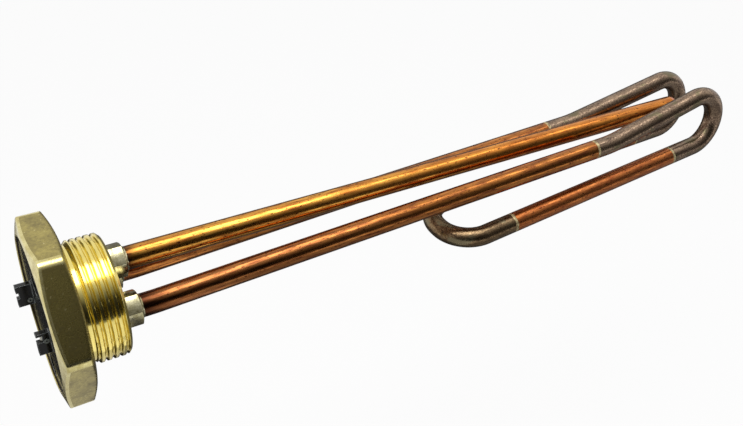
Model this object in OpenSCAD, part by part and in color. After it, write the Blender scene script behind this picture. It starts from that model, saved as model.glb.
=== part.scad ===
// Screw plug immersion heater: a brass hexagon plug, a copper sheathed element bent
// into hairpins, and a straight copper pocket for a temperature sensor.
// X runs along the heater from the plug to the far end, Z is up, and the origin is the
// centre of the plug's sealing shoulder. All sizes are in millimetres and degrees.

/* [Plug] */
// Size across the flats of the hexagon
hex_af = 56.5; // [46:0.5:75]
// Thickness of the hexagon along the axis
hex_t = 10.5; // [8:0.5:20]
// Radius that rounds the hexagon's corners
hex_corner_r = 2.5; // [0.5:0.1:5]
// Diameter of the flat left on each face inside the corner chamfers
hex_face_d = 53.8; // [50:0.1:60]
// Slope of the corner chamfers
hex_chamfer_angle = 15; // [10:1:35]
// Major diameter of the pipe thread
thread_d = 41.91; // [33.25:0.01:59.61]
// Length of the threaded end from the shoulder
thread_len = 13.5; // [10:0.5:30]
// Chamfer on the lead of the thread
thread_lead = 0.95; // [0.5:0.05:2]
// Diameter of the relief groove behind the thread
relief_d = 38.9; // [30:0.1:56]
// Width of the relief groove at the shoulder
relief_w = 2; // [1:0.1:4]
// Inner diameter of the sealing face, clear of the thread
seat_in_d = 42.8; // [34:0.1:60]
// Depth to which the relief groove undercuts the sealing face
seat_undercut = 0.4; // [0.2:0.1:1]
// Diameter of the recess on the terminal side
recess_d = 52.6; // [44:0.1:54]
// Depth of the recess from the outer face
recess_depth = 5.5; // [4:0.1:8]
// Diameter of the deep bore behind the recess
bore_d = 33; // [26:0.5:36]
// Thickness of the end wall that carries the tubes
end_wall = 4.5; // [3:0.1:8]
// Radius of the circle on which the three tubes sit
pitch_r = 11.75; // [9:0.05:13]

/* [Tubes] */
// Outer diameter of the element sheath and of the pocket
tube_d = 8; // [6:0.1:10]
// Wall of the element sheath
sheath_wall = 0.9; // [0.5:0.05:1.5]
// Wall of the sensor pocket
pocket_wall = 0.8; // [0.5:0.05:1.5]
// Length of the pocket beyond the shoulder
pocket_len = 275; // [150:1:400]
// How far the tubes stand out of the end wall inside the bore
tube_stand = 3; // [1:0.5:6]
// Gap filled by the solder around each tube
braze_gap = 0.05; // [0.02:0.01:0.2]
// Size across the flats of the hexagon collars
collar_af = 11; // [9.5:0.1:14]
// Length of the collars
collar_len = 5.2; // [3:0.1:10]
// Diameter of the flat left on a collar's free end inside the corner chamfers
collar_face_d = 10.2; // [9:0.1:14]
// Slope of those chamfers
collar_chamfer_angle = 15; // [10:1:45]
// How far the collars are turned from having a level flat
collar_turn = -15; // [-30:1:30]

/* [Element path] */
// Centre line radius of the two far loops
loop_r = 12; // [9:0.1:14]
// Centre line radius of the near hairpin
hairpin_r = 12.9; // [9:0.1:14]
// How much bending thins the wall of the tube on each side
bend_draw = 0.02; // [0.01:0.01:0.05]
// Centre line radius of the slight bends beside the collars
spread_bend_r = 60; // [30:1:120]
// Centre line radius of the cranks before the far loops
crank_bend_r = 50; // [25:1:100]
// Length of the legs before the spread bends, from the shoulder
straight_x = 24; // [20:1:40]
// Where the near hairpin ends, measured to its corners
near_x = 142.8; // [60:0.1:200]
// Sideways place of the near hairpin's front corner
near_front_y = -17.6; // [-22:0.1:-10]
// Height of the near hairpin's front corner
near_front_z = -13.6; // [-20:0.1:0]
// Sideways place of the near hairpin's rear corner
near_rear_y = 10; // [2:0.1:12]
// Height of the near hairpin's rear corner
near_rear_z = -11.2; // [-20:0.1:0]

/* [Front loop] */
// Distance of the front crank from the shoulder
front_crank_x = 225; // [180:1:250]
// Height of the front crank
front_crank_z = 8.2; // [0:0.1:15]
// Sideways place of the front crank
front_crank_y = -11.95; // [-16:0.05:-8]
// Distance of the front loop's centre from the shoulder
front_loop_x = 275.5; // [240:0.5:380]
// Height of the front loop's centre
front_loop_z = 7.1; // [0:0.1:12]
// Sideways place of the front loop
front_loop_y = -12.5; // [-16:0.1:-8]

/* [Rear loop] */
// Distance of the rear crank from the shoulder
rear_crank_x = 222; // [180:1:250]
// Height of the rear crank
rear_crank_z = 9.8; // [0:0.1:15]
// Sideways place of the rear crank
rear_crank_y = 10.65; // [8:0.05:16]
// Distance of the rear loop's centre from the shoulder
rear_loop_x = 276.5; // [240:0.5:380]
// Height of the rear loop's centre
rear_loop_z = 7; // [0:0.1:12]
// Sideways place of the rear loop's upper side
rear_loop_y = 10.4; // [8:0.1:16]
// Sideways place of the rear loop's lower side
rear_return_y = 9.4; // [8:0.1:16]

/* [Inside the sheath] */
// Diameter of the steel pins and of the wound wire
pin_d = 2.6; // [2:0.1:3.5]
// Length of the unheated part of each leg beyond the shoulder
cold_len = 60; // [30:1:100]
// Slack of the pieces packed inside the sheath
pack_gap = 0.02; // [0.01:0.01:0.1]
// How far each end seal goes into the sheath
seal_len = 6; // [3:0.5:12]
// Thickness of the end seal's flange on the sheath's mouth
seal_flange = 1; // [0.5:0.1:2]
// Diameter of the end seal's flange
seal_flange_d = 7.4; // [6:0.1:9]
// Diameter of the ceramic beads
bead_d = 6; // [4:0.1:7.5]

/* [Terminals] */
// How far the insulator's face lies under the plug's rim
insulator_drop = 0.7; // [0.2:0.1:2]
// Thickness of the insulator's plate
plate_t = 2.5; // [1.5:0.1:3.5]
// Wall of the skirt on which the insulator stands
skirt_wall = 2; // [1:0.1:4]
// Slack of the insulator in the recess and of the tabs in their slots
fit_gap = 0.1; // [0.05:0.01:0.3]
// Size of the terminal carriers across their flat sides
carrier_w = 2.2; // [2:0.1:6]
// Length of the terminal carriers
carrier_len = 7.8; // [7.2:0.1:12]
// Height at which the front carrier's middle lies
front_carrier_z = -2.4; // [-3:0.1:0]
// Height at which the rear carrier's middle lies
rear_carrier_z = 1.5; // [0:0.1:3]
// How far the front carrier stands out of the plate
front_carrier_h = 4.1; // [3.5:0.1:8]
// How far the rear carrier stands out of the plate
rear_carrier_h = 5; // [3.5:0.1:8]
// Width of the notch across each carrier's outer edge
notch_w = 2.3; // [0.6:0.1:2.5]
// Depth of the front carrier's notch, which shows the tab's edge
front_notch_depth = 1.8; // [0.6:0.1:1.9]
// Depth of the rear carrier's notch
rear_notch_depth = 0.8; // [0.4:0.1:1.9]
// Thickness of the prong over the front carrier's notch
front_prong_t = 0.9; // [0.5:0.1:1.5]
// Thickness of the prong over the rear carrier's notch
rear_prong_t = 2.4; // [0.5:0.1:2.6]
// Thickness of the terminal tabs
tab_t = 0.8; // [0.5:0.1:1]
// Width of the terminal tabs
tab_w = 6.3; // [4.8:0.1:6.4]
// Cover that the carrier leaves over the tab's outer edge
tab_cover = 1.2; // [0.8:0.1:1.5]
// Wall that the carrier leaves over the tab's upper edge
tab_wall = 0.7; // [0.5:0.1:1]
// Outer diameter of the barrels crimped on the pins
barrel_d = 3.6; // [3.2:0.1:5]
// Length of the crimped barrels
barrel_len = 5; // [3:0.1:8]
// Shank diameter of the hollow rivets
rivet_d = 1.2; // [0.8:0.1:2]
// Bore of the hollow rivets
rivet_bore_d = 0.6; // [0.3:0.1:1.2]
// Diameter of the rivets' rolled heads
rivet_head_d = 1.8; // [1.4:0.1:3]
// Thickness of the rivets' rolled heads
rivet_head_t = 0.25; // [0.15:0.05:0.6]
// Distance of the rivets from the plate
rivet_rise = 1.2; // [1:0.1:1.5]
// Distance of the front rivet from its carrier's upper end
front_rivet_inset = 3; // [2:0.1:5]
// Distance of the rear rivet from its carrier's upper end
rear_rivet_inset = 6; // [2:0.1:6]
// Diameter of the hole over the pocket's mouth
access_d = 8; // [6:0.1:9]

/* [Earth terminal] */
// How far the earth screw lies inside the middle of the recess floor
earth_inset = 0.6; // [0:0.1:2]
// Diameter of the earth screw
earth_d = 4; // [3:0.5:5]
// Depth of the earth screw's hole under the recess floor
earth_depth = 3.5; // [2.5:0.1:4]
// How far the earth screw stops short of the hole's end
earth_short = 0.5; // [0.2:0.1:1]
// Diameter of the earth screw's head
earth_head_d = 7; // [5:0.1:8]
// Height of the earth screw's head
earth_head_h = 2.2; // [1.5:0.1:3]
// Width of the slot in the earth screw's head
earth_slot_w = 1; // [0.6:0.1:1.4]
// Depth of the slot in the earth screw's head
earth_slot_depth = 1.1; // [0.5:0.1:1.5]
// Diameter of the earth washer
washer_d = 7.6; // [6:0.1:9]
// Thickness of the earth washer
washer_t = 0.8; // [0.5:0.1:1.5]
// Diameter of the insulator's hole around the earth screw
earth_hole_d = 8.4; // [7:0.1:10]

/* [Hidden] */

// Facets round a circle and round a full turn of a bend
fine = 72;
tube_facets = 28;
bend_facets = 48;
pack_facets = 16;
// Steps across one rounded corner of the hexagon
corner_steps = 8;
// How far a cutter reaches past the face it cuts
over = 1;
// Half the turn from one corner of a hexagon to the next
corner_half = 30;

// Places along the axis, from the terminal side
hex_x = -hex_t;
floor_x = hex_x + recess_depth;
wall_x = thread_len - end_wall;
mouth_x = wall_x - tube_stand;
plate_x = hex_x + insulator_drop;
under_x = plate_x + plate_t;
seal_x = mouth_x - seal_flange;
pack_x = mouth_x + seal_len;

// Radii used more than once
tube_r = tube_d / 2;
sheath_r = tube_r - sheath_wall;
pocket_r = tube_r - pocket_wall;
hole_r = tube_r + braze_gap;
pin_r = pin_d / 2;
disc_r = recess_d / 2 - fit_gap;

// The barrels stand on the beads, and the beads on the seals' flanges
barrel_x = under_x - plate_t / 2;
bead_x = barrel_x + barrel_len;
slot_t = tab_t + 2 * fit_gap;

// Centres of the holes in the end wall, as [y, z]
front_at = [-pitch_r, 0];
rear_at = [pitch_r, 0];
pocket_at = [0, pitch_r];
earth_at = [0, earth_inset - (bore_d + recess_d) / 4];

// The corners of a loop stand off by this much, so that its two bends always fit
slack = 0.15;
reach_r = loop_r + slack;

// Slope of the line from p that touches the loop about c, on its upper or lower side
function touch(p, c, side) =
    atan2(c[1] - p[1], c[0] - p[0]) + side * asin(reach_r / norm(c - p));
// Height at which that line meets the loop's far end
function corner_z(p, c, side) = p[1] + (c[0] + reach_r - p[0]) * tan(touch(p, c, side));

front_loop = [front_loop_x, front_loop_z];
rear_loop = [rear_loop_x, rear_loop_z];
front_top_z = corner_z([front_crank_x, front_crank_z], front_loop, 1);
front_low_z = corner_z([near_x, near_front_z], front_loop, -1);
rear_top_z = corner_z([rear_crank_x, rear_crank_z], rear_loop, 1);
rear_low_z = corner_z([near_x, near_rear_z], rear_loop, -1);

// Corners of the element's centre line, from the front leg to the rear leg
front_foot = [straight_x, front_at[0], front_at[1]];
rear_foot = [straight_x, rear_at[0], rear_at[1]];
front_crank = [front_crank_x, front_crank_y, front_crank_z];
rear_crank = [rear_crank_x, rear_crank_y, rear_crank_z];
middle = [
    [front_loop_x + reach_r, front_loop_y, front_top_z],
    [front_loop_x + reach_r, front_loop_y, front_low_z],
    [near_x, near_front_y, near_front_z],
    [near_x, near_rear_y, near_rear_z],
    [rear_loop_x + reach_r, rear_return_y, rear_low_z],
    [rear_loop_x + reach_r, rear_loop_y, rear_top_z]];

// The whole centre line, between the mouths of the two legs
corners = concat([[mouth_x, front_at[0], front_at[1]], front_foot, front_crank], middle,
    [rear_crank, rear_foot, [mouth_x, rear_at[0], rear_at[1]]]);
radii = [spread_bend_r, crank_bend_r, loop_r, loop_r, hairpin_r, hairpin_r, loop_r, loop_r,
         crank_bend_r, spread_bend_r];

function unit(v) = v / norm(v);
function turn(a, b) = acos(max(-1, min(1, a * b)));
// How far a straight run reaches into the bends at its ends
bend_lap = 0.05;
// Sizes in the bending table are given to a thousandth, as a bender takes them
function set_size(v) = round(v * 1000) / 1000;

// The rear leg stops this much short, so that rounding never pushes it into its seal
rear_short = 0.01;

// The bending table: straight lengths, then the angle of each bend and the roll before it
runs = len(corners) - 1;
dirs = [for (i = [0:runs - 1]) unit(corners[i + 1] - corners[i])];
angles = [for (i = [0:runs - 2]) set_size(turn(dirs[i], dirs[i + 1]))];
trims = concat([0], [for (i = [0:runs - 2]) radii[i] * tan(angles[i] / 2)], [0]);
lengths = [for (i = [0:runs - 1])
    set_size(norm(corners[i + 1] - corners[i]) - trims[i] - trims[i + 1])];
// Direction to the middle of each bend, at its start and at its end
inward = [for (i = [0:runs - 2]) unit(dirs[i + 1] - dirs[i] * (dirs[i] * dirs[i + 1]))];
outcome = [for (i = [0:runs - 2]) unit(dirs[i + 1] * (dirs[i] * dirs[i + 1]) - dirs[i])];
rolls = [for (i = [0:runs - 2])
    let (from = i == 0 ? [0, 1, 0] : outcome[i - 1])
    atan2(cross(from, inward[i]) * dirs[i], from * inward[i])];

// Lengths left off the second and the last but one run, where the wound wire ends
front_cold = set_size((cold_len - straight_x) / dirs[1][0] - trims[1]);
rear_cold = set_size((straight_x - cold_len) / dirs[runs - 2][0] - trims[runs - 1]);
pin_head = barrel_x - mouth_x;

// Colours of the materials
brass = "#B39A4A";
solder_silver = "#A9A794";
copper = "#B5652A";
phenolic = "#191919";
tinned = "#BEBEB4";
steel = "#8C9094";
magnesia = "#E6E2D8";
silicone = "#B4552F";
ceramic = "#EFEBDD";

// Lays a shape drawn in the plane of y and z, and built upward, along X
module along_x(x = 0, at = [0, 0])
    translate([x, at[0], at[1]])
        multmatrix([[0, 0, 1, 0], [1, 0, 0, 0], [0, 1, 0, 0], [0, 0, 0, 1]])
            children();

// Ring of the swept tubes; a bore of zero leaves it solid
module ring(r_out, r_in, facets)
    difference() {
        circle(r = r_out, $fn = facets);
        if (r_in > 0)
            circle(r = r_in, $fn = facets);
    }

// Bend of the tube in the plane of x and z, from the origin towards x; bending draws it in
module bend(angle, r, r_out, r_in, facets)
    translate([r, 0, 0])
        multmatrix([[-1, 0, 0, 0], [0, 0, 1, 0], [0, 1, 0, 0], [0, 0, 0, 1]])
            rotate_extrude(angle = angle, $fn = bend_facets)
                translate([r, 0])
                    ring(r_out - bend_draw, r_in > 0 ? r_in + bend_draw : 0, facets);

// Runs first to last of the bending table, each laid on the end of the one before,
// with head and tail left off the two ends
module bent(first, last, head, tail, r_out, r_in, facets, i = 0) {
    from = i == first ? head : -bend_lap;
    to = lengths[i] + (i == last ? -tail : bend_lap);
    if (i >= first)
        translate([0, 0, from])
            linear_extrude(height = set_size(to - from))
                ring(r_out, r_in, facets);
    if (i < last)
        translate([0, 0, lengths[i]])
            rotate([0, 0, rolls[i]]) {
                if (i >= first)
                    bend(angles[i], radii[i], r_out, r_in, facets);
                translate([radii[i], 0, 0])
                    rotate([0, angles[i], 0])
                        translate([-radii[i], 0, 0])
                            bent(first, last, head, tail, r_out, r_in, facets, i + 1);
            }
}

// The same, placed on the front leg
module swept(first, last, head, tail, r_out, r_in, facets)
    along_x(mouth_x, front_at)
        bent(first, last, head, tail, r_out, r_in, facets);

// Hexagon with two level flats and rounded corners
module rounded_hex() {
    reach = (hex_af / 2 - hex_corner_r) / cos(corner_half);
    polygon([for (k = [0:5], s = [0:corner_steps])
        let (a = 2 * corner_half * k, t = a + corner_half * (2 * s / corner_steps - 1))
        [reach * cos(a) + hex_corner_r * cos(t), reach * sin(a) + hex_corner_r * sin(t)]]);
}

// Turned form that chamfers the hexagon's corners on both faces
module chamfer_form() {
    corner_r = hex_af / (2 * cos(corner_half)) + over;
    fall = (corner_r - hex_face_d / 2) * tan(hex_chamfer_angle);
    rotate_extrude($fn = fine)
        polygon([[0, 0], [hex_face_d / 2, 0], [corner_r, fall],
                 [corner_r, hex_t - fall], [hex_face_d / 2, hex_t], [0, hex_t]]);
}

// Turned end with the relief groove, at the thread's major diameter
module thread_form() {
    rise = (thread_d - relief_d) / 2;
    rotate_extrude($fn = fine)
        polygon([[0, -over], [relief_d / 2, -over], [relief_d / 2, relief_w],
                 [thread_d / 2, relief_w + rise], [thread_d / 2, thread_len - thread_lead],
                 [thread_d / 2 - thread_lead, thread_len], [0, thread_len]]);
}

module plug_body()
    color(brass)
        difference() {
            union() {
                difference() {
                    intersection() {
                        along_x(hex_x) linear_extrude(height = hex_t) rounded_hex();
                        along_x(hex_x) chamfer_form();
                    }
                    along_x(-seat_undercut)
                        cylinder(h = seat_undercut + over, d = seat_in_d, $fn = fine);
                }
                along_x() thread_form();
            }
            along_x(hex_x - over)
                cylinder(h = recess_depth + over, d = recess_d, $fn = fine);
            along_x(floor_x - over)
                cylinder(h = wall_x - floor_x + over, d = bore_d, $fn = fine);
            for (at = [front_at, rear_at, pocket_at])
                along_x(wall_x - over, at)
                    cylinder(h = end_wall + 2 * over, r = hole_r, $fn = tube_facets);
            along_x(floor_x - over, earth_at)
                cylinder(h = earth_depth + over, d = earth_d, $fn = tube_facets);
        }

// Hexagon collar with a chamfered free end, sealed to the end wall around a tube
module collar(at) {
    corner_r = collar_af / (2 * cos(corner_half));
    wide_r = corner_r + over;
    fall = (wide_r - collar_face_d / 2) * tan(collar_chamfer_angle);
    color(solder_silver)
        along_x(thread_len, at)
            intersection() {
                rotate([0, 0, collar_turn])
                    linear_extrude(height = collar_len)
                        circle(r = corner_r, $fn = 6);
                rotate_extrude($fn = fine)
                    polygon([[hole_r, -over], [wide_r, -over], [wide_r, collar_len - fall],
                             [collar_face_d / 2, collar_len], [hole_r, collar_len]]);
            }
}

module pocket_collar() collar(pocket_at);

module front_leg_collar() collar(front_at);

module rear_leg_collar() collar(rear_at);

// Half outline of a round tipped rod of radius r, between two places along its axis
module tip_outline(r, from, to)
    intersection() {
        union() {
            translate([0, from]) square([r, to - r - from]);
            translate([0, to - r]) circle(r = r, $fn = tube_facets);
        }
        translate([0, from]) square([r, to - from]);
    }

module pocket_tube()
    color(copper)
        along_x(0, pocket_at)
            rotate_extrude($fn = tube_facets)
                difference() {
                    tip_outline(tube_r, mouth_x, pocket_len);
                    tip_outline(pocket_r, mouth_x - over, pocket_len - pocket_wall);
                }

module element_sheath()
    color(copper)
        swept(0, runs - 1, 0, rear_short, tube_r, sheath_r, tube_facets);

module magnesia_filling()
    color(magnesia)
        swept(0, runs - 1, seal_len, seal_len + rear_short, sheath_r - pack_gap, pin_r + pack_gap,
              pack_facets);

module heating_coil()
    color(steel)
        swept(1, runs - 2, front_cold, rear_cold, pin_r, 0, pack_facets);

// The pins run from the crimped barrels to the ends of the wound wire
module front_cold_pin()
    color(steel)
        swept(0, 1, pin_head, lengths[1] - front_cold, pin_r, 0, pack_facets);

module rear_cold_pin()
    color(steel)
        swept(runs - 2, runs - 1, lengths[runs - 2] - rear_cold, pin_head + rear_short, pin_r, 0,
              pack_facets);

// Soft plug in the sheath's mouth, with a flange that rests on its end
module end_seal(at)
    color(silicone)
        along_x(0, at)
            rotate_extrude($fn = tube_facets)
                polygon([[pin_r + pack_gap, seal_x], [seal_flange_d / 2, seal_x],
                         [seal_flange_d / 2, mouth_x], [sheath_r - pack_gap, mouth_x],
                         [sheath_r - pack_gap, pack_x], [pin_r + pack_gap, pack_x]]);

module front_end_seal() end_seal(front_at);

module rear_end_seal() end_seal(rear_at);

// Ceramic bead that keeps the pin clear of the plug
module pin_bead(at)
    color(ceramic)
        along_x(bead_x, at)
            linear_extrude(height = seal_x - bead_x)
                ring(bead_d / 2, pin_r + pack_gap, tube_facets);

module front_pin_bead() pin_bead(front_at);

module rear_pin_bead() pin_bead(rear_at);

// What differs between the two carriers, by side: -1 at the front and 1 at the rear
function carrier_h(side) = side < 0 ? front_carrier_h : rear_carrier_h;
function carrier_end(side) = (side < 0 ? front_carrier_z : rear_carrier_z) + carrier_len / 2;
function notch_end(side) = carrier_end(side) - (side < 0 ? front_prong_t : rear_prong_t);
function notch_depth(side) = side < 0 ? front_notch_depth : rear_notch_depth;
function tab_end(side) = carrier_end(side) - tab_wall;
function tab_top(side) = plate_x - carrier_h(side) + tab_cover;
function rivet_at(side) = [plate_x - rivet_rise, side * pitch_r,
    carrier_end(side) - (side < 0 ? front_rivet_inset : rear_rivet_inset)];

// A range from a to b about c
function span(c, a, b) = [c + a, c + b];

// Block from corner to corner, as x, y and z ranges
module block(x, y, z)
    translate([x[0], y[0], z[0]])
        cube([x[1] - x[0], y[1] - y[0], z[1] - z[0]]);

// Upstanding carrier with a notch across its outer edge
module carrier(side)
    difference() {
        block([plate_x - carrier_h(side), plate_x + over],
              span(side * pitch_r, -carrier_w / 2, carrier_w / 2),
              span(carrier_end(side), -carrier_len, 0));
        block(span(plate_x - carrier_h(side), -over, notch_depth(side)),
              span(side * pitch_r, -carrier_w, carrier_w),
              span(notch_end(side), -notch_w, 0));
    }

// Room for a tab, its barrel and its rivet
module carrier_cut(side) {
    block([tab_top(side) - fit_gap, under_x + over],
          span(side * pitch_r, -slot_t / 2, slot_t / 2),
          span(tab_end(side), -tab_w - fit_gap, fit_gap));
    along_x(barrel_x - fit_gap, [side * pitch_r, 0])
        cylinder(h = plate_t + over, d = barrel_d + 2 * fit_gap, $fn = tube_facets);
    across(rivet_at(side))
        cylinder(h = 2 * carrier_w, d = rivet_d, center = true, $fn = tube_facets);
}

// Lays a shape that is built upward along Y
module across(p)
    translate(p)
        rotate([-90, 0, 0])
            children();

module terminal_insulator()
    color(phenolic)
        difference() {
            union() {
                along_x(plate_x) cylinder(h = floor_x - plate_x, r = disc_r, $fn = fine);
                carrier(-1);
                carrier(1);
            }
            along_x(under_x)
                cylinder(h = floor_x - under_x + over, r = disc_r - skirt_wall, $fn = fine);
            carrier_cut(-1);
            carrier_cut(1);
            along_x(plate_x - over, pocket_at)
                cylinder(h = plate_t + 2 * over, d = access_d, $fn = tube_facets);
            along_x(plate_x - over, earth_at)
                cylinder(h = floor_x - plate_x + 2 * over, d = earth_hole_d, $fn = tube_facets);
        }

// Flat tab with the barrel that is crimped on the pin
module terminal_tab(side)
    color(tinned)
        difference() {
            union() {
                block([tab_top(side), barrel_x + tab_t], span(side * pitch_r, -tab_t / 2, tab_t / 2),
                      span(tab_end(side), -tab_w, 0));
                along_x(barrel_x, [side * pitch_r, 0])
                    cylinder(h = barrel_len, d = barrel_d, $fn = tube_facets);
            }
            along_x(barrel_x, [side * pitch_r, 0])
                cylinder(h = barrel_len + over, r = pin_r + pack_gap, $fn = tube_facets);
            across(rivet_at(side))
                cylinder(h = 2 * carrier_w, d = rivet_d, center = true, $fn = tube_facets);
        }

module front_terminal_tab() terminal_tab(-1);

module rear_terminal_tab() terminal_tab(1);

// Hollow rivet through a carrier and its tab, rolled over on both sides
module terminal_rivet(side)
    color(tinned)
        across(rivet_at(side))
            rotate_extrude($fn = tube_facets)
                polygon([[rivet_bore_d / 2, -carrier_w / 2 - rivet_head_t],
                         [rivet_head_d / 2, -carrier_w / 2 - rivet_head_t],
                         [rivet_head_d / 2, -carrier_w / 2],
                         [rivet_d / 2 - pack_gap, -carrier_w / 2],
                         [rivet_d / 2 - pack_gap, carrier_w / 2],
                         [rivet_head_d / 2, carrier_w / 2],
                         [rivet_head_d / 2, carrier_w / 2 + rivet_head_t],
                         [rivet_bore_d / 2, carrier_w / 2 + rivet_head_t]]);

module front_terminal_rivet() terminal_rivet(-1);

module rear_terminal_rivet() terminal_rivet(1);

module earth_washer()
    color(tinned)
        along_x(floor_x - washer_t, earth_at)
            linear_extrude(height = washer_t)
                ring(washer_d / 2, earth_d / 2 + fit_gap, tube_facets);

module earth_screw()
    color(tinned)
        difference() {
            union() {
                along_x(floor_x - washer_t - earth_head_h, earth_at)
                    cylinder(h = earth_head_h, d = earth_head_d, $fn = tube_facets);
                along_x(floor_x - washer_t - over, earth_at)
                    cylinder(h = washer_t + over + earth_depth - earth_short,
                             r = earth_d / 2 - pack_gap, $fn = tube_facets);
            }
            block([floor_x - washer_t - earth_head_h - over,
                   floor_x - washer_t - earth_head_h + earth_slot_depth],
                  span(earth_at[0], -earth_head_d, earth_head_d),
                  span(earth_at[1], -earth_slot_w / 2, earth_slot_w / 2));
        }

plug_body();
pocket_collar();
front_leg_collar();
rear_leg_collar();
pocket_tube();
element_sheath();
magnesia_filling();
heating_coil();
front_cold_pin();
rear_cold_pin();
front_end_seal();
rear_end_seal();
front_pin_bead();
rear_pin_bead();
terminal_insulator();
front_terminal_tab();
rear_terminal_tab();
front_terminal_rivet();
rear_terminal_rivet();
earth_washer();
earth_screw();
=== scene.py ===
"""Looks of a screw plug immersion heater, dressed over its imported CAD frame."""

import logging
import math
from dataclasses import dataclass, replace
from enum import Enum, IntEnum
from functools import cache
from typing import Any

import bmesh
import bpy
from mathutils import Matrix, Vector


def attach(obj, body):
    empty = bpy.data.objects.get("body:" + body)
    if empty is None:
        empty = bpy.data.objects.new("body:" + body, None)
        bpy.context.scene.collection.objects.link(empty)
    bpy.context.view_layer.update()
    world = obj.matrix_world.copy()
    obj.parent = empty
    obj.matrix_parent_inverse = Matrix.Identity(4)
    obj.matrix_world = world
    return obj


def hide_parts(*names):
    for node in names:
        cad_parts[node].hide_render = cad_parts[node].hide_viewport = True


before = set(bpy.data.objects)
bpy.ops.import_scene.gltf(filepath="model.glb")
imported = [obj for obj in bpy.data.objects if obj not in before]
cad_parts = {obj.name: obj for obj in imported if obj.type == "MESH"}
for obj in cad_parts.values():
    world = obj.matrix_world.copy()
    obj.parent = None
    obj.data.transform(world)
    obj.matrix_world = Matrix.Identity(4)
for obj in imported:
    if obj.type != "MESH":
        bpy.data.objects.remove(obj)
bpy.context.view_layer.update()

log = logging.getLogger("heater")

Pair = tuple[float, float]
Point = tuple[float, float, float]
Socket = bpy.types.NodeSocket
Inputs = dict[str | int, Any]

MM = 0.001
SHARP = math.radians(28)  # Edges that turn further than this stay sharp.
ROUND_STEPS = 4  # Steps across the rounding of an outline's corner.
TUBE_R = 4.0  # The pocket and the sheath are tubes of the same size, in millimetres.
PITCH_R = 11.75  # Distance of the tubes from the plug's axis, in millimetres.
# Y and Z of the tubes where they pass the plug's end wall.
TUBES: dict[str, Pair] = {
    "pocket": (0.0, PITCH_R), "front_leg": (-PITCH_R, 0.0), "rear_leg": (PITCH_R, 0.0)}


def linear(hex_colour: str) -> tuple[float, float, float, float]:
    """Turns an sRGB hex colour into linear values.

    Args:
        hex_colour: Six hex digits, with or without a leading hash.

    Returns:
        Red, green, blue and an alpha of one.
    """
    digits = hex_colour.lstrip("#")
    srgb = [int(digits[i:i + 2], 16) / 255 for i in (0, 2, 4)]
    r, g, b = [c / 12.92 if c <= 0.04045 else ((c + 0.055) / 1.055) ** 2.4 for c in srgb]
    return (r, g, b, 1.0)


def per_size(size_mm: float) -> float:
    """Noise scale, in coordinates of metres, that gives features of a real size."""
    return 1 / (size_mm * MM)


def circle(count: int) -> list[float]:
    """Even angles round a full turn, in radians."""
    return [2 * math.pi * j / count for j in range(count)]


def add_node(tree: bpy.types.NodeTree, kind: str, inputs: Inputs | None = None,
             **settings: Any) -> bpy.types.Node:
    """Adds a node with its settings, its values and its links.

    Args:
        tree: Tree that takes the node.
        kind: Blender's name of the node's type.
        inputs: Value or socket for each input, by name or index.
        **settings: Properties of the node itself.

    Returns:
        The new node.
    """
    node = tree.nodes.new(kind)
    for name, value in settings.items():
        setattr(node, name, value)
    for key, value in (inputs or {}).items():
        if isinstance(value, Socket):
            tree.links.new(value, node.inputs[key])
        else:
            node.inputs[key].default_value = value
    return node


def bare_material(name: str) -> bpy.types.Material:
    """Makes a material whose node tree is still empty.

    Args:
        name: Name of the material.

    Returns:
        The material.
    """
    made = bpy.data.materials.new(name)
    made.use_nodes = True
    made.node_tree.nodes.clear()
    return made


class Coordinates(Enum):
    """Where a pattern takes its coordinates from."""

    OBJECT = "Object"
    UNROLLED = "UV"


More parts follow.
